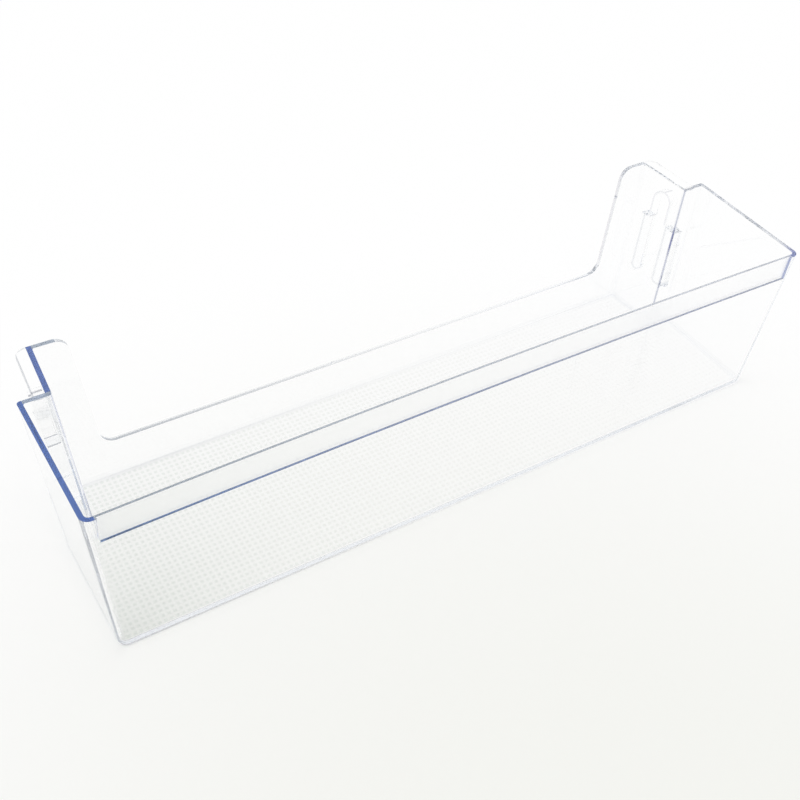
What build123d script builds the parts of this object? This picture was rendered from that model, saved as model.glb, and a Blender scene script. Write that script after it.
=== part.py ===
from build123d import *

import os

# Bottle shelf for a refrigerator door, moulded in one piece from clear plastic.
# Millimetres. X runs along the shelf, -Y is the front, +Z is up.
# The origin is the middle of the shelf's box, on the underside of its floor.

# Overall sizes, at the rim
length = 480.0
depth = 131.5
height = 108.0

# Walls
wall = 2.8
floor = 2.5
corner_radius = 2.5  # inside of the two front corners, in plan
hollow_radius = 1.2  # other upright corners, on their hollow side
round_radius = 2.0  # other upright corners, on their round side
edge_share = 0.8  # radius of the edges round the floor, as a share of the upright corners they run into

# How far each wall leans in from the rim to the floor
front_lean = 1.4
side_lean = 9.8
back_lean = 9.9
front_bow = 3.0  # the front rim's dip towards the back at mid-length

# Stepped ends: a full-length front part, then a narrower back part with an ear at each end
ear_depth = 39.0
step_width = 15.4
ear_taper = 2.8

# Cut-out in the back wall, between the ears
ear_width = 21.8  # back panel of an ear, at the rim
gap_lean = 9.8  # how far the gap's sides lean out from the sill to the rim
sill_height = 27.4
sill_radius = 10.0
ear_radius = 9.0

# Roof on the outside of each ear, over its hanging channel
roof_width = 6.6
roof_thickness = 2.2
roof_radius = 6.6

# Hanging channel on the outside of each ear: two legs joined by an arch, all leaning like the back wall
channel_width = 13.4
channel_back = 16.9  # from the ear's back face to the channel's back side
channel_out = 7.8
leg_width = 7.5
leg_bottom = 29.5
leg_top = 74.0
leg_radius = 3.0
arch_rib = 1.2
arch_drop = 10.6  # from the rim down to the arch's top

# Sunk band for a trim strip along the top of the front wall
band_height = 17.2
band_sink = 1.4
band_end = 7.5  # from the end of the shelf to the end of the band

# Broken-off moulding gate on the sill
gate_x = -33.0
gate_width = 2.4
gate_height = 0.8

overrun = 1.0  # how far a cutter passes the face that it leaves by
near = 0.001  # how close to a stated place a corner is picked

# Places that follow from the sizes
front_face = -depth / 2
back_face = depth / 2
step_face = back_face - ear_depth
gap_half = length / 2 - step_width - ear_taper - ear_width
sill_half = gap_half - gap_lean


def lean(amount, z):
    """How far a wall that leans by amount stands inside its rim at height z."""
    return amount * (1 - z / height)


def front_y(z):
    """Outside of the front wall at its two ends."""
    return front_face + lean(front_lean, z)


def back_y(z):
    """Outside of the back wall and of the ears' back panels."""
    return back_face - lean(back_lean, z)


def step_y(z):
    """Outside of the step, where the shelf narrows towards the back."""
    return step_face - lean(back_lean, z)


def end_x(z):
    """Outside of the right end wall."""
    return length / 2 - lean(side_lean, z)


def ear_x(y, z):
    """Outside of the right ear's side wall, which tapers from the step to the back."""
    return end_x(z) - step_width - ear_taper * (y - step_y(z)) / ear_depth


def front_line(half, y, z, foot):
    """The front wall's line at height z, straight at the foot and bowed above it."""
    if z == foot:
        return Line((-half, y, z), (half, y, z))
    dip = front_bow * (z - foot) / (height - foot)
    return ThreePointArc((-half, y, z), (0, y + dip, z), (half, y, z))


def at_corner(sketch, x, y):
    """The two corners of a sketch at x and y and at the mirrored place."""
    return [v for v in sketch.vertices() if abs(abs(v.X) - x) < near and abs(v.Y - y) < near]


def plan(z, inset, foot):
    """The shelf's outline at height z, with every wall face moved in by inset."""
    front = front_y(z) + inset
    end = end_x(z) - inset
    step = step_y(z) - inset
    back = back_y(z) - inset
    ear_front = ear_x(step_y(z), z) - inset
    ear_back = ear_x(back_y(z), z) - inset
    right = [(end, front, z), (end, step, z), (ear_front, step, z), (ear_back, back, z)]
    left = [(-x, y, z) for x, y, z in reversed(right)]
    face = make_face([front_line(end, front, z, foot), Polyline(*right, *left)])
    outward, inward = (hollow_radius, round_radius) if inset else (round_radius, hollow_radius)
    face = fillet(at_corner(face, end, front), corner_radius + wall - inset)
    face = fillet(at_corner(face, end, step), outward)
    face = fillet(at_corner(face, ear_front, step), inward)
    return fillet(at_corner(face, ear_back, back), outward)


def tray():
    """The shell with its floor, its stepped walls all at full height."""
    body = loft([plan(0, 0, 0), plan(height, 0, 0)], ruled=True)
    body = fillet(body.faces().sort_by(Axis.Z)[0].edges(), edge_share * round_radius)
    cavity = loft([plan(floor, wall, floor), plan(height + overrun, wall, floor)], ruled=True)
    cavity = fillet(cavity.faces().sort_by(Axis.Z)[0].edges(), edge_share * hollow_radius)
    return body - cavity


def back_gap():
    """Cutter for the wide gap in the back wall, with rounded sill ends and ear tops."""
    side = gap_half + ear_width
    top = height + overrun
    outline = Polyline(
        (-side, height), (-gap_half, height), (-sill_half, sill_height),
        (sill_half, sill_height), (gap_half, height), (side, height),
        (side, top), (-side, top), close=True,
    )
    shape = make_face(outline)
    shape = fillet(at_corner(shape, gap_half, height), ear_radius)
    shape = fillet(at_corner(shape, sill_half, sill_height), sill_radius)
    plane = Plane(origin=(0, back_face + overrun, 0), x_dir=(1, 0, 0), z_dir=(0, -1, 0))
    return extrude(plane * shape, back_lean + wall + 2 * overrun)


def roof():
    """Flat lip at the top of the right ear, from the step to the back face."""
    start = step_face - wall / 2
    inside = wall / 2
    outline = Polyline(
        (ear_x(start, height) - inside, start),
        (ear_x(start, height) + roof_width, start),
        (ear_x(back_face, height) + roof_width, back_face),
        (ear_x(back_face, height) - inside, back_face),
        close=True,
    )
    shape = make_face(outline)
    shape = fillet(at_corner(shape, ear_x(back_face, height) + roof_width, back_face), roof_radius)
    return Pos(0, 0, height - roof_thickness) * extrude(shape, roof_thickness)


def ear_point(back, z):
    """Point on the outside of the right ear's side wall, at a distance from the ear's back face."""
    y = back_y(z) - back
    return Vector(ear_x(y, z), y, z)


def ear_plane():
    """Outside face of the right ear's side wall, with its x to the back and its y up the wall."""
    foot = ear_point(channel_back, 0)
    along = ear_point(0, 0) - foot
    up = ear_point(channel_back, height) - foot
    return Plane(origin=foot, x_dir=along, z_dir=along.cross(up))


def ear_patch(backs, heights):
    """Four-sided patch on the ear's wall, between two distances from the back and two heights."""
    plane = ear_plane()
    places = [(0, 0), (1, 0), (1, 1), (0, 1)]
    corners = [plane.to_local_coords(ear_point(backs[i], heights[j])) for i, j in places]
    return make_face(Polyline(*[(c.X, c.Y) for c in corners], close=True))


def arch_shape(reach, middle, foot):
    """Arch with straight sides from the foot's height, as wide as twice its reach."""
    centre = channel_back + channel_width / 2
    at = ear_plane().to_local_coords(ear_point(centre, middle))
    sides = ear_patch((centre - reach, centre + reach), (foot, middle))
    return sides + Pos(at.X, at.Y) * Circle(reach)


def channel():
    """Legs and arch on the right ear, which drop over a boss on the door's inner wall."""
    legs = (leg_bottom, leg_top)
    back_leg = ear_patch((channel_back, channel_back - leg_width), legs)
    back_leg = fillet(back_leg.vertices().sort_by(Axis.Y)[:2], leg_radius)
    front_leg = ear_patch((channel_back + channel_width, ear_depth + wall / 2), legs)
    front_leg = fillet(front_leg.vertices().sort_by(Axis.X)[-2:].sort_by(Axis.Y)[0], leg_radius)
    reach = channel_width / 2 + arch_rib
    middle = height - arch_drop - reach
    arch = arch_shape(reach, middle, leg_top - overrun) - arch_shape(channel_width / 2, middle, leg_bottom)
    plane = ear_plane().offset(-wall / 2)
    return extrude(plane * (back_leg + front_leg + arch), channel_out + wall / 2)


def band():
    """Cutter for the sunk band, which follows the front wall's lean and bow."""
    sections = []
    for z in (height - band_height, height + overrun):
        half = end_x(z)
        edge = front_y(z) + band_sink
        outside = front_face - overrun
        box = Polyline((half, edge, z), (half, outside, z), (-half, outside, z), (-half, edge, z))
        sections.append(make_face([front_line(half, edge, z, 0), box]))
    reach = front_bow + band_sink + front_lean + overrun
    between = Box(length - 2 * band_end, 2 * reach, 2 * (band_height + overrun))
    return loft(sections, ruled=True) & Pos(0, front_face, height) * between


def gate():
    """Stub of the moulding gate, standing on the sill."""
    middle = back_y(sill_height) - wall / 2
    stub = Box(gate_width, wall / 2, 2 * gate_height)
    return Pos(gate_x, middle, sill_height) * stub


def shelf():
    """The whole shelf, as one solid."""
    right = roof() + channel()
    body = tray() - back_gap() - band()
    return body + right + mirror(right, Plane.YZ) + gate()


os.makedirs("parts", exist_ok=True)
export_step(shelf(), "parts/bottle_shelf.step")
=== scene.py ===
"""Clear fridge bottle shelf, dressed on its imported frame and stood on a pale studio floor.

Metres. X runs along the shelf, -Y is the front and +Z is up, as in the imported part.
"""

from __future__ import annotations

import logging
import math
from dataclasses import dataclass, field
from enum import Enum, IntEnum
from typing import Any, Callable, Sequence, Union

import bmesh
import bpy
from mathutils import Matrix, Vector

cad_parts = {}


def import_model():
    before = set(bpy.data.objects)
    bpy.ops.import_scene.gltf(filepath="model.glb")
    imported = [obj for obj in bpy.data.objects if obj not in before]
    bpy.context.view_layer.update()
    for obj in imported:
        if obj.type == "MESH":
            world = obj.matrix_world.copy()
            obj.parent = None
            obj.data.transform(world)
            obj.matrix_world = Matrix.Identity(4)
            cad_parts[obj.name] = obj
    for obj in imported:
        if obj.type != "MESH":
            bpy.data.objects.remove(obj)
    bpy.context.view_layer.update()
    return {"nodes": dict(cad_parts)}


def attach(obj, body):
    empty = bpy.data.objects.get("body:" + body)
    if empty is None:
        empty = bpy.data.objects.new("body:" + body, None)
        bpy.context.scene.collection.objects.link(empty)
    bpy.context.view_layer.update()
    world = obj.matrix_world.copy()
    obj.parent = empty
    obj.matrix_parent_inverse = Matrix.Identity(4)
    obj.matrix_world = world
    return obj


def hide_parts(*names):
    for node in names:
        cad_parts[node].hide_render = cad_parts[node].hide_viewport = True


LOG = logging.getLogger("bottle_shelf")

MM = 0.001
NODE = "bottle_shelf"
BODY = "root"

Value = Union["Sock", bpy.types.NodeSocket, float, Sequence[float]]
Colour = tuple[float, float, float, float]

WHITE: Colour = (1.0, 1.0, 1.0, 1.0)

# Sockets that are asked for by number, because others of the same node share their names
RANGE_LOW, RANGE_HIGH = 1, 2
MIX_SHARE, MIX_FIRST, MIX_SECOND, MIX_RESULT = 0, 6, 7, 2


@dataclass(frozen=True)
class ShelfForm:
    """Sizes of the shelf that more than one class goes by."""

    rim_height: float = 108.0 * MM
    ledge_height: float = 90.8 * MM
    band_half: float = 232.5 * MM
    floor_level: float = 2.5 * MM
    cell_depth: float = 0.12 * MM
    ear_taper: float = 2.8 / 39.0
    side_lean: float = 9.8 / 108.0
    back_lean: float = 9.9 / 108.0


FORM = ShelfForm()


class Axis(IntEnum):
    """The two ways that the floor's waffle runs."""

    X = 0
    Y = 1


class Blend(Enum):
    """How one colour goes over another."""

    COVER = "MIX"
    PAINTED_SHADE = "MULTIPLY"


class Maths(Enum):
    """The sums that the shader expressions use."""

    ADD = "ADD"
    SUBTRACT = "SUBTRACT"
    MULTIPLY = "MULTIPLY"
    ABOVE = "GREATER_THAN"
    BELOW = "LESS_THAN"
    SIZE = "ABSOLUTE"
    POWER = "POWER"
    LARGEST = "MAXIMUM"


@dataclass(frozen=True)
class Sock:
    """A shader socket that sums like a number."""

    maker: "NodeMaker"
    socket: bpy.types.NodeSocket

    def _sum(self, how: Maths, first: Value, second: Value) -> "Sock":
        """One Math node on two values."""
        return self.maker.make("ShaderNodeMath", {"operation": how.value}, {0: first, 1: second})

    def __add__(self, other: Value) -> "Sock":
        """This value plus another."""
        return self._sum(Maths.ADD, self, other)

    def __radd__(self, other: Value) -> "Sock":
        """Another value plus this one."""
        return self._sum(Maths.ADD, other, self)

    def __sub__(self, other: Value) -> "Sock":
        """This value less another."""
        return self._sum(Maths.SUBTRACT, self, other)

    def __rsub__(self, other: Value) -> "Sock":
        """Another value less this one."""
        return self._sum(Maths.SUBTRACT, other, self)

    def __mul__(self, other: Value) -> "Sock":
        """This value times another."""
        return self._sum(Maths.MULTIPLY, self, other)

    def __rmul__(self, other: Value) -> "Sock":
        """Another value times this one."""
        return self._sum(Maths.MULTIPLY, other, self)

    def __rpow__(self, other: Value) -> "Sock":
        """Another value to the power of this one."""
        return self._sum(Maths.POWER, other, self)

    def __gt__(self, other: Value) -> "Sock":
        """1 where this value is above another, else 0."""
        return self._sum(Maths.ABOVE, self, other)

    def __lt__(self, other: Value) -> "Sock":
        """1 where this value is below another, else 0."""
        return self._sum(Maths.BELOW, self, other)

    def __abs__(self) -> "Sock":
        """This value without its sign."""
        return self._sum(Maths.SIZE, self, 0.0)

    def larger(self, other: Value) -> "Sock":
        """The larger of this value and another."""
        return self._sum(Maths.LARGEST, self, other)


@dataclass(frozen=True)
class NodeMaker:
    """Makes the nodes of one material or world."""

    tree: bpy.types.NodeTree

    def make(
        self,
        kind: str,
        settings: dict[str, Any] | None = None,
        inputs: dict[Union[int, str], Value] | None = None,
        output: Union[int, str] = 0,
    ) -> Sock:
        """Make a node, set it up and feed it.

        Args:
            kind: The node's type.
            settings: Its own settings, such as a Math node's operation, set first.
            inputs: Values or links for its sockets, by name or number.
            output: The output to hand back.

        Returns:
            The chosen output, ready for sums.
        """
        node = self.tree.nodes.new(kind)
        for name, value in (settings or {}).items():
            setattr(node, name, value)
        for name, value in (inputs or {}).items():
            self.feed(node.inputs[name], value)
        return Sock(self, node.outputs[output])

    def feed(self, socket: bpy.types.NodeSocket, value: Value) -> None:
        """Link a socket to another, or set its value.

        Args:
            socket: The socket to feed.
            value: What to link it to, or the value that it gets.
        """
        if isinstance(value, Sock):
            value = value.socket
        if isinstance(value, bpy.types.NodeSocket):
            self.tree.links.new(value, socket)
        else:
            socket.default_value = value

    def other(self, sock: Sock, name: str) -> Sock:
        """Another output of the node that a socket belongs to."""
        return Sock(self, sock.socket.node.outputs[name])

    def close(self, name: str, socket: str, value: Sock) -> None:
        """Link a shader to the tree's output node, which is made if it isn't there.

        Args:
            name: The output node's type.
            socket: The name of its socket.
            value: The shader.
        """
        found = next((n for n in self.tree.nodes if n.bl_idname == name), None)
        node = found or self.tree.nodes.new(name)
        self.tree.links.new(value.socket, node.inputs[socket])


def new_material(name: str) -> tuple[bpy.types.Material, NodeMaker]:
    """An empty node material.

    Args:
        name: The material's name.

    Returns:
        The material and the maker of its nodes.
    """
    material = bpy.data.materials.new(name)
    material.use_nodes = True
    material.node_tree.nodes.clear()
    return material, NodeMaker(material.node_tree)


@dataclass(frozen=True)
class Spot:
    """What a finish knows about a point of the surface: its place and the way it faces."""

    nodes: NodeMaker
    place: Sock
    x: Sock
    y: Sock
    z: Sock
    side: Sock
    ahead: Sock
    up: Sock

    @classmethod
    def read(cls, nodes: NodeMaker) -> "Spot":
        """Read the point that is being shaded.

        Args:
            nodes: The maker of the material's nodes.

        Returns:
            The point, in metres in the part's own frame.
        """
        place = nodes.make("ShaderNodeTexCoord", output="Object")
        x = nodes.make("ShaderNodeSeparateXYZ", inputs={0: place}, output="X")
        facing = nodes.other(place, "Normal")
        side = nodes.make("ShaderNodeSeparateXYZ", inputs={0: facing}, output="X")
        return cls(
            nodes, place, x, nodes.other(x, "Y"), nodes.other(x, "Z"),
            side, nodes.other(side, "Y"), nodes.other(side, "Z"),
        )

    def fade(self, value: Sock, low: float, high: float) -> Sock:
        """0 up to a low value and 1 from a high one, smooth between them."""
        return self.nodes.make(
            "ShaderNodeMapRange",
            {"interpolation_type": "SMOOTHSTEP"},
            {"Value": value, RANGE_LOW: low, RANGE_HIGH: high},
        )

    def away(self, point: tuple[float, float, float]) -> Sock:
        """The distance from a place in the part's frame."""
        return self.nodes.make(
            "ShaderNodeVectorMath", {"operation": "DISTANCE"}, {0: self.place, 1: point}, "Value"
        )

    def between(self, value: Sock, low: float, high: float) -> Sock:
        """1 between two values, else 0."""
        return (value > low) * (value < high)

    def slant(self, across: Sock, along: Sock) -> Sock:
        """The length of the long side of a right-angled triangle."""
        both = self.nodes.make("ShaderNodeCombineXYZ", inputs={0: across, 1: along})
        return self.nodes.make("ShaderNodeVectorMath", {"operation": "LENGTH"}, {0: both}, "Value")

    def mix(self, share: Value, first: Value, second: Value, how: Blend = Blend.COVER) -> Sock:
        """A colour that goes from the first to the second as the share goes from 0 to 1.

        Args:
            share: How much of the second there is.
            first: The colour at a share of 0.
            second: The colour that goes over it.
            how: How it goes over it.

        Returns:
            The mixed colour.
        """
        return self.nodes.make(
            "ShaderNodeMix",
            {"data_type": "RGBA", "blend_type": how.value},
            {MIX_SHARE: share, MIX_FIRST: first, MIX_SECOND: second},
            MIX_RESULT,
        )

    def paint_shade(self, share: Value, under: Value, colour: Value) -> Sock:
        """A colour with painted shade multiplied over it."""
        return self.mix(share, under, colour, Blend.PAINTED_SHADE)


@dataclass(frozen=True)
class PaintedShadeRamp:
    """A painted shade whose colour goes from one colour at the left end to another towards the
    right end.
    """

    left: Colour
    right: Colour
    start: float = -240.0 * MM
    end: float = 240.0 * MM

    def at(self, spot: Spot) -> Sock:
        """The painted shade's colour at a point."""
        return spot.mix(spot.fade(spot.x, self.start, self.end), self.left, self.right)


@dataclass(frozen=True)
class SatinBand:
    """The satin face of the sunk trim band along the front."""

    facing: float = -0.5
    roughness: float = 0.16

    def mask(self, spot: Spot) -> Sock:
        """1 on the band's face, else 0."""
        along = (spot.ahead < self.facing) * (spot.z > FORM.ledge_height)
        return along * (abs(spot.x) < FORM.band_half)


@dataclass(frozen=True)
class CutEdges:
    """Painted light on the edges: blue or grey lines painted where light running down inside the
    wall under them shows, with a few painted shadows.
    """

    end_rim: PaintedShadeRamp = PaintedShadeRamp((0.0075, 0.030, 0.24, 1.0), (0.76, 0.76, 0.78, 1.0))
    ear_side: PaintedShadeRamp = PaintedShadeRamp((0.0075, 0.030, 0.24, 1.0), WHITE)
    step: PaintedShadeRamp = PaintedShadeRamp((0.15, 0.20, 0.31, 1.0), (0.74, 0.74, 0.76, 1.0))
    ear_back: PaintedShadeRamp = PaintedShadeRamp((0.20, 0.25, 0.33, 1.0), WHITE)
    front: PaintedShadeRamp = PaintedShadeRamp((0.22, 0.26, 0.32, 1.0), (0.52, 0.53, 0.57, 1.0))
    ledge: PaintedShadeRamp = PaintedShadeRamp((0.025, 0.06, 0.20, 1.0), (0.23, 0.25, 0.34, 1.0))
    sill: PaintedShadeRamp = PaintedShadeRamp((0.28, 0.31, 0.36, 1.0), (0.95, 0.95, 0.95, 1.0), end=120.0 * MM)
    gap: PaintedShadeRamp = PaintedShadeRamp((0.80, 0.81, 0.83, 1.0), (0.72, 0.72, 0.75, 1.0))
    corner: PaintedShadeRamp = PaintedShadeRamp((0.60, 0.63, 0.80, 1.0), (0.30, 0.33, 0.46, 1.0))
    tip: PaintedShadeRamp = PaintedShadeRamp((0.80, 0.90, 1.00, 1.0), (0.10, 0.13, 0.42, 1.0))
    band_end: PaintedShadeRamp = PaintedShadeRamp(WHITE, (0.20, 0.24, 0.46, 1.0))
    # Painted contact shadow: a dark line along the bottom of the front wall, darkest at the left
    # end.
    foot_shadow: PaintedShadeRamp = PaintedShadeRamp((0.10, 0.11, 0.14, 1.0), WHITE, end=120.0 * MM)
    lip: PaintedShadeRamp = PaintedShadeRamp((0.46, 0.48, 0.52, 1.0), (0.95, 0.95, 0.95, 1.0))
    shade: PaintedShadeRamp = PaintedShadeRamp(WHITE, (0.06, 0.08, 0.30, 1.0))
    slack: float = 0.2 * MM
    level: tuple[float, float] = (0.35, 0.9)
    sill_height: float = 27.4 * MM
    sill_back: float = 57.4 * MM
    front_half: float = 233.5 * MM
    front_back: float = -57.0 * MM
    step_face: float = 26.75 * MM
    step_half: float = 237.2 * MM
    back_inside: float = 62.95 * MM
    back_half: float = 219.0 * MM
    ear_outside: float = 224.6 * MM
    wall: float = 2.8 * MM
    corner_reach: tuple[float, float] = (0.5 * MM, 1.5 * MM)
    shade_low: tuple[float, float] = (54.0 * MM, 66.0 * MM)
    shade_high: tuple[float, float] = (74.0 * MM, 84.0 * MM)
    gap_facing: float = 0.5
    gap_half: float = 203.0 * MM
    gap_front: float = 45.0 * MM
    gap_bend: tuple[float, float] = (29.0 * MM, 40.0 * MM)
    lip_low: float = 105.9 * MM
    lip_line: float = 5.9 * MM
    lip_facing: float = 0.5
    tip_back: tuple[float, float] = (-63.0 * MM, -46.0 * MM)
    foot_height: float = 0.6 * MM
    foot_back: float = -62.0 * MM
    foot_facing: float = -0.2

    def paint_shade(self, spot: Spot, under: Value) -> Sock:
        """Paint the edges' light lines and shadows.

        Args:
            spot: The point of the surface.
            under: The colour without the edges.

        Returns:
            The colour with them.
        """
        flat = spot.fade(spot.up, *self.level)
        top = flat * self._at(spot, FORM.rim_height)
        front = (abs(spot.x) < self.front_half) * (spot.y < self.front_back)
        tip = (abs(spot.x) > self.front_half) * (1.0 - spot.fade(spot.y, *self.tip_back))
        back = spot.y - self.step_face
        roof = (back > 0.0) * (abs(spot.x) + FORM.ear_taper * back > self.ear_outside)
        step = spot.between(back, -self.wall, self.slack) * (abs(spot.x) < self.step_half)
        ear = (spot.y > self.back_inside) * (abs(spot.x) < self.back_half)
        side = top * (1.0 - front) * (1.0 - step) * (1.0 - ear) * (1.0 - roof)
        for mask, tint in (
            (top * front, self.front),
            (top * step, self.step),
            (top * ear, self.ear_back),
            (side * (back < 0.0), self.end_rim),
            (side * (back > 0.0), self.ear_side),
            (flat * self._at(spot, FORM.ledge_height), self.ledge),
            (self._sill(spot), self.sill),
            (self._gap(spot), self.gap),
            (self._lip(spot), self.lip),
            (self._corner(spot), self.corner),
            (self._corner(spot) * self._beside_leg(spot), self.shade),
            (top * tip, self.tip),
            (self._band_end(spot), self.band_end),
            (self._foot_shadow(spot), self.foot_shadow),
        ):
            under = spot.paint_shade(mask, under, tint.at(spot))
        return under

    def _at(self, spot: Spot, height: float) -> Sock:
        """1 at a height, else 0."""
        return abs(spot.z - height) < self.slack

    def _cut_out(self, spot: Spot) -> Sock:
        """1 on the edges round the gap in the back wall, else 0."""
        across = (abs(spot.ahead) < self.gap_facing) * (spot.z > self.sill_height - self.slack)
        return across * (abs(spot.x) < self.gap_half) * (spot.y > self.gap_front)

    def _gap(self, spot: Spot) -> Sock:
        """1 on the ears' upright edges, beside the gap in the back wall."""
        return self._cut_out(spot) * spot.fade(spot.z, *self.gap_bend)

    def _sill(self, spot: Spot) -> Sock:
        """1 on the inner half of the sill, fading up the bends at its two ends."""
        inner = spot.y - FORM.back_lean * (spot.z - self.sill_height) < self.sill_back
        return self._cut_out(spot) * inner * (1.0 - spot.fade(spot.z, *self.gap_bend))

    def _lip(self, spot: Spot) -> Sock:
        """Find the outer edge of the roof over each hanging channel.

        Args:
            spot: The point of the surface.

        Returns:
            1 on that edge and along its top, else 0.
        """
        back = spot.y - self.step_face
        out = abs(spot.x) + FORM.ear_taper * back - self.ear_outside
        upright = (abs(spot.up) < self.lip_facing) * (out > self.slack)
        return (spot.z > self.lip_low) * (back > self.slack) * upright.larger(out > self.lip_line)

    def _band_end(self, spot: Spot) -> Sock:
        """1 on the two end faces of the sunk band."""
        ends = abs(abs(spot.x) - FORM.band_half) < self.slack
        return ends * (spot.y < self.front_back) * (spot.z > FORM.ledge_height)

    def _foot_shadow(self, spot: Spot) -> Sock:
        """1 on the rounded edge under the front wall, where a dark contact shadow is painted."""
        below = (spot.z < self.foot_height) * (spot.y < self.foot_back)
        return below * (spot.ahead < self.foot_facing)

    def _beside_leg(self, spot: Spot) -> Sock:
        """1 at the height where a leg ends behind the step's corner, fading up and down."""
        return spot.fade(spot.z, *self.shade_low) * (1.0 - spot.fade(spot.z, *self.shade_high))

    def _corner(self, spot: Spot) -> Sock:
        """Find the inside of the upright corner at each step.

        Args:
            spot: The point of the surface.

        Returns:
            1 along that corner, fading to both sides.
        """
        drop = FORM.rim_height - spot.z
        beside = abs(spot.x) + FORM.side_lean * drop - (self.ear_outside - self.wall)
        behind = spot.y + FORM.back_lean * drop - (self.step_face - self.wall)
        return 1.0 - spot.fade(abs(beside).larger(abs(behind)), *self.corner_reach)


@dataclass(frozen=True)
class ChannelEdges:
    """The grey edges of the legs and the arch that stand on the outside of each ear, painted as
    light lines where light running along them would show them grey.
    """

    outline: PaintedShadeRamp = PaintedShadeRamp((0.88, 0.89, 0.91, 1.0), (0.76, 0.77, 0.80, 1.0))
    across: PaintedShadeRamp = PaintedShadeRamp((0.28, 0.29, 0.33, 1.0), (0.66, 0.67, 0.71, 1.0))
    line: float = 0.8 * MM
    out: float = 7.8 * MM
    slack: float = 0.3 * MM
    levels: tuple[float, float] = (29.0 * MM, 98.5 * MM)
    reach: tuple[float, float] = (9.0 * MM, 39.3 * MM)
    crown: float = 90.0 * MM
    crown_facing: float = 0.994
    leg_foot: float = 29.5 * MM
    leg_top: float = 74.0 * MM
    leg_radius: float = 3.0 * MM
    leg_middle: float = 13.15 * MM
    leg_half: float = 3.75 * MM
    channel_middle: float = 23.6 * MM
    channel_front: float = 30.3 * MM
    arch_rib: float = 1.2 * MM
    ear_depth: float = 39.0 * MM
    back_face: float = 65.75 * MM
    ear_back: float = 221.8 * MM
    tilt: float = 0.097
    skew: float = 0.081
    facing: float = 0.5

    def paint_shade(self, spot: Spot, under: Value) -> Sock:
        """Paint the grey light lines on the edges of the legs and the arch.

        Args:
            spot: The point of the surface.
            under: The colour without them.

        Returns:
            The colour with them.
        """
        drop = FORM.rim_height - spot.z
        back = self.back_face - FORM.back_lean * drop - spot.y
        out = abs(spot.x) - (self.ear_back - FORM.side_lean * drop + FORM.ear_taper * back)
        level = spot.z + self.tilt * out
        back = back + self.skew * out
        here = spot.between(level, *self.levels) * spot.between(back, *self.reach)
        here = (out > self.slack) * here
        edgewise = abs(spot.side) < self.facing
        outer = (out > self.out - self.slack) * self._outline(spot, level, back)
        across = edgewise * self._across(spot, level, back)
        under = spot.paint_shade(here * (1.0 - edgewise) * outer, under, self.outline.at(spot))
        return spot.paint_shade(here * across, under, self.across.at(spot))

    def _across(self, spot: Spot, level: Sock, back: Sock) -> Sock:
        """Find the edges of the legs' tops and the arch's crown that run out from the ear.

        Args:
            spot: The point of the surface.
            level: Its height along the leaning ear.
            back: How far it lies ahead of the ear's back face.

        Returns:
            1 along those edges, else 0.
        """
        half = self.leg_half - self.line
        front_end = self.channel_front + self.arch_rib + self.line
        far_edge = back < self.leg_middle - half
        back_edge = spot.between(back, self.leg_middle + half - self.arch_rib, self.channel_middle)
        front_edge = spot.between(back, self.channel_middle, front_end)
        step_edge = back > self.ear_depth - self.line
        top = far_edge.larger(back_edge).larger(front_edge).larger(step_edge)
        top = top * (abs(level - self.leg_top) < self.slack) * (spot.up > self.facing)
        crown = (level > self.crown) * (abs(spot.up) > self.crown_facing)
        return top.larger(crown)

    def _outline(self, spot: Spot, level: Sock, back: Sock) -> Sock:
        """Find the outline of the two legs, and the arch.

        Args:
            spot: The point of the surface.
            level: Its height along the leaning ear.
            back: How far it lies ahead of the ear's back face.

        Returns:
            1 along the legs' outline and all over the arch, else 0.
        """
        low = (self.leg_foot + self.leg_radius - level).larger(0.0)
        back_leg = abs(back - self.leg_middle) - (self.leg_half - self.leg_radius)
        front_leg = self.channel_front + self.leg_radius - back
        inside = self.leg_radius - self.line
        behind = (spot.slant(back_leg.larger(0.0), low) > inside) * (back < self.channel_middle)
        ahead = (spot.slant(front_leg.larger(0.0), low) > inside) * (back > self.channel_middle)
        return behind.larger(ahead).larger(level > self.leg_top - self.line)


@dataclass(frozen=True)
class FloorCellsAndShade:
    """The floor's upper side: cells painted darker than the ribs round them and made rougher, and
    shade painted round the front-left corner.
    """

    # cells: painted shade in the cell bottoms, standing in for the dark dots that light through the
    # waffle makes; darker at the left end.
    cells: PaintedShadeRamp = PaintedShadeRamp((0.79, 0.83, 0.80, 1.0), (0.965, 0.965, 0.96, 1.0), end=200.0 * MM)
    corner_shade: Colour = (0.74, 0.76, 0.74, 1.0)
    corner: tuple[float, float, float] = (-225.0 * MM, -60.0 * MM, FORM.floor_level)
    reach: float = 60.0 * MM
    top: float = 2.6 * MM
    bottom: float = FORM.floor_level - FORM.cell_depth
    slack: float = 0.04 * MM
    facing: float = 0.5
    roughness: float = 0.06

    def cell(self, spot: Spot) -> Sock:
        """1 in the bottom of a cell, else 0."""
        return (abs(spot.z - self.bottom) < self.slack) * (spot.up > self.facing)

    def paint_shade(self, spot: Spot, under: Value) -> Sock:
        """Paint shade onto the floor.

        Args:
            spot: The point of the surface.
            under: The colour without the floor.

        Returns:
            The colour with it.
        """
        # Painted shade: darkest at the front-left corner, fading away from it.
        corner_shade_share = math.exp(-1.0 / self.reach) ** spot.away(self.corner)
        floor = (spot.up > self.facing) * (spot.z < self.top)
        under = spot.paint_shade(floor * corner_shade_share, under, self.corner_shade)
        # Painted shade in the bottom of each cell.
        return spot.paint_shade(self.cell(spot), under, self.cells.at(spot))


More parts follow.
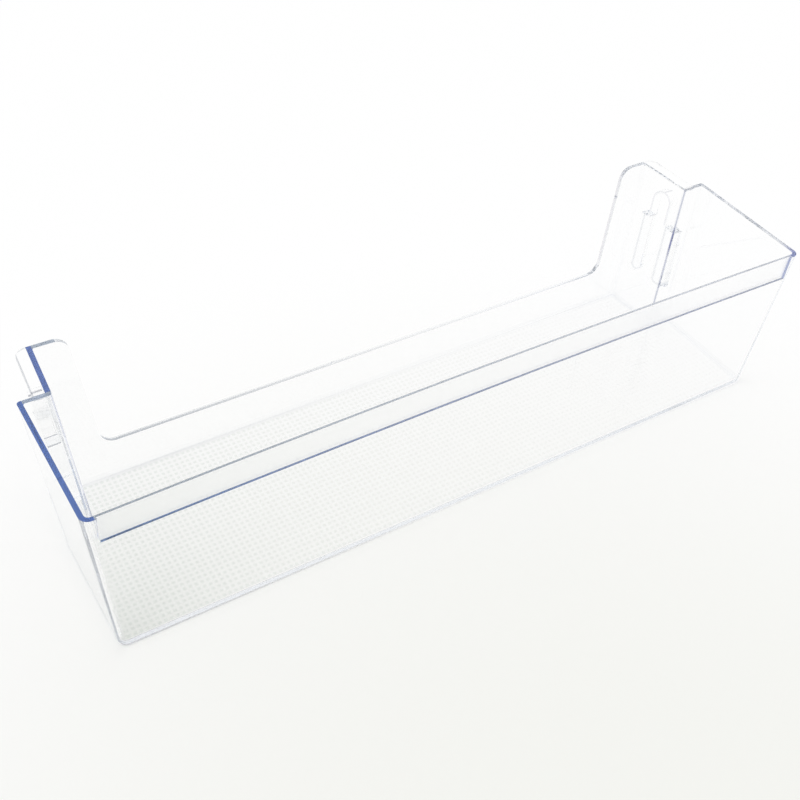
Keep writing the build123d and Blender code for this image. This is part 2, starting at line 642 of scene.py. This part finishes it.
@dataclass(frozen=True)
class ClearPlastic:
    """Clear moulded plastic that turns blue over a long way through it."""

    name: str = "clear_plastic"
    index: float = 1.58
    absorbs: tuple[float, float, float] = (0.62, 0.49, 0.27)
    clear: Colour = WHITE
    roughness: float = 0.012
    haze: float = 0.012
    haze_scale: float = 45.0
    haze_detail: float = 4.0
    band: SatinBand = field(default_factory=SatinBand)
    edges: CutEdges = field(default_factory=CutEdges)
    channel: ChannelEdges = field(default_factory=ChannelEdges)
    floor: FloorCellsAndShade = field(default_factory=FloorCellsAndShade)

    def make(self) -> bpy.types.Material:
        """Build the material.

        Returns:
            The finished material.
        """
        material, nodes = new_material(self.name)
        spot = Spot.read(nodes)
        haze = nodes.make(
            "ShaderNodeTexNoise",
            inputs={"Vector": spot.place, "Scale": self.haze_scale, "Detail": self.haze_detail},
        )
        colour: Value = self.clear
        # The finishes paint light and shade over the clear colour: edge lines, leg outlines, darker
        # floor cells and a shaded corner.
        for finish in (self.edges, self.channel, self.floor):
            colour = finish.paint_shade(spot, colour)
        rough = self.roughness + self.haze * haze
        for mask, more in (
            (self.band.mask(spot), self.band.roughness),
            (self.floor.cell(spot), self.floor.roughness),
        ):
            rough = rough + mask * more
        body = nodes.make(
            "ShaderNodeBsdfPrincipled",
            inputs={
                "Base Color": colour,
                "Roughness": rough,
                "IOR": self.index,
                "Transmission Weight": 1.0,
            },
        )
        nodes.close("ShaderNodeOutputMaterial", "Surface", body)
        most = max(self.absorbs)
        passed = [1.0 - part / most for part in self.absorbs]
        depth = nodes.make(
            "ShaderNodeVolumeAbsorption", inputs={"Color": (*passed, 1.0), "Density": most}
        )
        nodes.close("ShaderNodeOutputMaterial", "Volume", depth)
        return material


@dataclass
class WaffleFloor:
    """The square waffle pressed into the floor's upper side."""

    pitch: float = 3.5 * MM
    rib: float = 0.9 * MM
    slope: float = 0.5 * MM
    front: float = -60.5 * MM
    step: float = 13.0 * MM
    back: float = 51.5 * MM
    half_front: float = 225.75 * MM
    half_back: float = 208.25 * MM
    flat: float = 0.999
    slack: float = 0.01 * MM
    cut_slack: float = 0.001 * MM
    whole_share: float = 0.5

    def _on_floor(self, face: bmesh.types.BMFace) -> bool:
        """True for a face of the floor's upper side."""
        height = face.calc_center_median().z
        return face.normal.z > self.flat and abs(height - FORM.floor_level) < self.slack

    def _in_field(self, face: bmesh.types.BMFace) -> bool:
        """Tell whether a face lies in the waffled field.

        Args:
            face: A face of the shelf.

        Returns:
            True for a face of the upper side that lies in the field.
        """
        spot = face.calc_center_median()
        half = self.half_front if spot.y < self.step else self.half_back
        return self._on_floor(face) and abs(spot.x) < half and self.front < spot.y < self.back

    @staticmethod
    def _straddles(face: bmesh.types.BMFace, axis: Axis, at: float) -> bool:
        """True for a face that lies on both sides of a line across one axis."""
        places = [vert.co[axis] for vert in face.verts]
        return min(places) < at < max(places)

    def _cut(
        self, bm: bmesh.types.BMesh, faces: list[bmesh.types.BMFace], axis: Axis, at: float
    ) -> None:
        """Cut faces along a line across one axis.

        Args:
            bm: The mesh.
            faces: The faces to cut.
            axis: X for a line at an x, Y for a line at a y.
            at: Where the line lies.
        """
        edges = {e for f in faces for e in f.edges}
        verts = {v for f in faces for v in f.verts}
        point = Vector((0.0, 0.0, 0.0))
        point[axis] = at
        across = Vector((0.0, 0.0, 0.0))
        across[axis] = 1.0
        bmesh.ops.bisect_plane(
            bm,
            geom=[*faces, *edges, *verts],
            dist=self.cut_slack,
            plane_co=point,
            plane_no=across,
        )

    def press(self, bm: bmesh.types.BMesh) -> int:
        """Press the waffle into a shelf's floor.

        Args:
            bm: The shelf's mesh, merged.

        Returns:
            The number of cells.
        """
        upper = [f for f in bm.faces if self._on_floor(f)]
        bmesh.ops.dissolve_faces(bm, faces=upper)
        for axis, at in (
            (Axis.Y, self.front),
            (Axis.Y, self.step),
            (Axis.Y, self.back),
            (Axis.X, -self.half_front),
            (Axis.X, self.half_front),
            (Axis.X, -self.half_back),
            (Axis.X, self.half_back),
        ):
            self._cut(bm, [f for f in bm.faces if self._on_floor(f)], axis, at)
        for axis, low, high in (
            (Axis.X, -self.half_front, self.half_front),
            (Axis.Y, self.front, self.back),
        ):
            for line in range(1, round((high - low) / self.pitch)):
                at = low + line * self.pitch
                near = [f for f in bm.faces if self._in_field(f) and self._straddles(f, axis, at)]
                if near:
                    self._cut(bm, near, axis, at)
        whole = self.whole_share * self.pitch**2
        cells = [f for f in bm.faces if self._in_field(f) and f.calc_area() > whole]
        for thickness, depth in ((self.rib / 2, 0.0), (self.slope, -FORM.cell_depth)):
            bmesh.ops.inset_individual(
                bm, faces=cells, thickness=thickness, depth=depth, use_even_offset=True
            )
        return len(cells)


@dataclass
class BottleShelf:
    """The shelf: the part's own form with its fine surface work."""

    name: str = "clear_shelf"
    merge: float = 0.0005 * MM
    sharp: float = math.radians(28.0)
    face_weight: int = 100
    waffle: WaffleFloor = field(default_factory=WaffleFloor)
    plastic: ClearPlastic = field(default_factory=ClearPlastic)

    def build(self, node: bpy.types.Object) -> bpy.types.Object:
        """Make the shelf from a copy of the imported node.

        Args:
            node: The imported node, which stays as it is.

        Returns:
            The dressed piece, riding on the frame.
        """
        bm = bmesh.new()
        bm.from_mesh(node.data)
        bmesh.ops.remove_doubles(bm, verts=bm.verts, dist=self.merge)
        cells = self.waffle.press(bm)
        open_edges = sum(1 for e in bm.edges if not e.is_manifold)
        LOG.info("waffle cells %d, open edges %d, faces %d", cells, open_edges, len(bm.faces))
        bm.normal_update()
        for face in bm.faces:
            face.smooth = True
        for edge in bm.edges:
            edge.smooth = edge.calc_face_angle(0.0) < self.sharp
        mesh = bpy.data.meshes.new(self.name)
        bm.to_mesh(mesh)
        bm.free()
        piece = bpy.data.objects.new(self.name, mesh)
        bpy.context.scene.collection.objects.link(piece)
        weighted = piece.modifiers.new("even_shading", "WEIGHTED_NORMAL")
        weighted.keep_sharp = True
        weighted.weight = self.face_weight
        mesh.materials.append(self.plastic.make())
        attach(piece, BODY)
        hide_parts(NODE)
        return piece


@dataclass(frozen=True)
class StudioFloor:
    """A wide pale floor under the shelf, with a soft shadow painted on it round a point in front of
    the shelf.
    """

    name: str = "studio_floor"
    half: float = 6.0
    # near: the painted shadow's colour at its middle; far: the plain pale floor further away.
    near: Colour = (0.905, 0.91, 0.875, 1.0)
    far: Colour = (0.995, 0.995, 0.995, 1.0)
    shadow_middle: tuple[float, float, float] = (-110.0 * MM, -360.0 * MM, 0.0)
    spread: tuple[float, float] = (100.0 * MM, 580.0 * MM)
    drop: float = 0.1 * MM

    def build(self) -> bpy.types.Object:
        """Lay the floor.

        Returns:
            The floor.
        """
        bm = bmesh.new()
        bmesh.ops.create_grid(bm, x_segments=1, y_segments=1, size=self.half)
        bmesh.ops.translate(bm, verts=bm.verts, vec=(0.0, 0.0, -self.drop))
        mesh = bpy.data.meshes.new(self.name)
        bm.to_mesh(mesh)
        bm.free()
        material, nodes = new_material(self.name)
        spot = Spot.read(nodes)
        # Painted shadow: grey at its middle, fading to the pale floor colour further out.
        shade = spot.mix(spot.fade(spot.away(self.shadow_middle), *self.spread), self.near, self.far)
        matt = nodes.make("ShaderNodeBsdfDiffuse", inputs={"Color": shade})
        nodes.close("ShaderNodeOutputMaterial", "Surface", matt)
        mesh.materials.append(material)
        floor = bpy.data.objects.new(self.name, mesh)
        bpy.context.scene.collection.objects.link(floor)
        return floor


@dataclass(frozen=True)
class StudioLight:
    """A white room, a little brighter above and behind the shelf's right end."""

    name: str = "white_room"
    towards: tuple[float, float, float] = (0.5025, 0.5025, 0.7035)
    white: float = 1.0
    even: float = 0.98
    lift: float = 0.05

    def build(self) -> bpy.types.World:
        """Light the scene from all round.

        Returns:
            The scene's world.
        """
        world = bpy.data.worlds.new(self.name)
        world.use_nodes = True
        world.node_tree.nodes.clear()
        nodes = NodeMaker(world.node_tree)
        way = nodes.make("ShaderNodeTexCoord", output="Generated")
        share = nodes.make(
            "ShaderNodeVectorMath", {"operation": "DOT_PRODUCT"}, {0: way, 1: self.towards}, "Value"
        )
        ray = nodes.make("ShaderNodeLightPath", output="Is Camera Ray")
        seen = ray
        for other in ("Is Glossy Ray", "Is Transmission Ray"):
            seen = seen.larger(nodes.other(ray, other))
        level = self.white * seen + (1.0 - seen) * (self.even + self.lift * share)
        sky = nodes.make("ShaderNodeBackground", inputs={"Color": WHITE, "Strength": level})
        nodes.close("ShaderNodeOutputWorld", "Surface", sky)
        world.cycles.sampling_method = "NONE"
        bpy.context.scene.world = world
        return world


@dataclass(frozen=True)
class PhotoCamera:
    """The camera that took the photograph, as fitted to the part's edges."""

    name: str = "photo_camera"
    focal_pixels: float = 1135.893
    frame_pixels: float = 800.0
    sensor: float = 36.0
    nearest: float = 10.0 * MM
    eye: tuple[float, float, float] = (-324.13 * MM, -416.472 * MM, 522.021 * MM)
    right: tuple[float, float, float] = (0.844743, -0.529273, 0.079246)
    up: tuple[float, float, float] = (0.316272, 0.613167, 0.723877)

    def build(self) -> bpy.types.Object:
        """Place the camera and make it the scene's own.

        Returns:
            The camera.
        """
        data = bpy.data.cameras.new(self.name)
        data.sensor_width = self.sensor
        data.lens = self.sensor * self.focal_pixels / self.frame_pixels
        data.clip_start = self.nearest
        camera = bpy.data.objects.new(self.name, data)
        right, up = Vector(self.right), Vector(self.up)
        turn = Matrix((right, up, right.cross(up))).transposed().to_4x4()
        camera.matrix_world = Matrix.Translation(self.eye) @ turn
        bpy.context.scene.collection.objects.link(camera)
        bpy.context.scene.camera = camera
        return camera


@dataclass(frozen=True)
class LightPaths:
    """How far light is followed through the shelf's many clear walls."""

    blur: float = 0.0
    bounces: int = 160
    glossy: int = 128
    transmission: int = 128
    see_through: int = 24

    def apply(self, scene: bpy.types.Scene) -> None:
        """Set the limits.

        Args:
            scene: The scene that gets them.
        """
        scene.cycles.blur_glossy = self.blur
        scene.cycles.max_bounces = self.bounces
        scene.cycles.glossy_bounces = self.glossy
        scene.cycles.transmission_bounces = self.transmission
        scene.cycles.transparent_max_bounces = self.see_through


def main() -> None:
    """Build the camera, the stage and the shelf, in that order."""
    logging.basicConfig(level=logging.INFO, format="%(name)s: %(message)s")
    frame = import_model()
    scene = bpy.context.scene
    scene.view_settings.view_transform = "Standard"
    LightPaths().apply(scene)
    steps: list[Callable[[], Any]] = [
        PhotoCamera().build,
        StudioFloor().build,
        StudioLight().build,
        lambda: BottleShelf().build(frame["nodes"][NODE]),
    ]
    for step in steps:
        made = step()
        LOG.info("made %s", made.name)


if __name__ == "__main__":
    main()
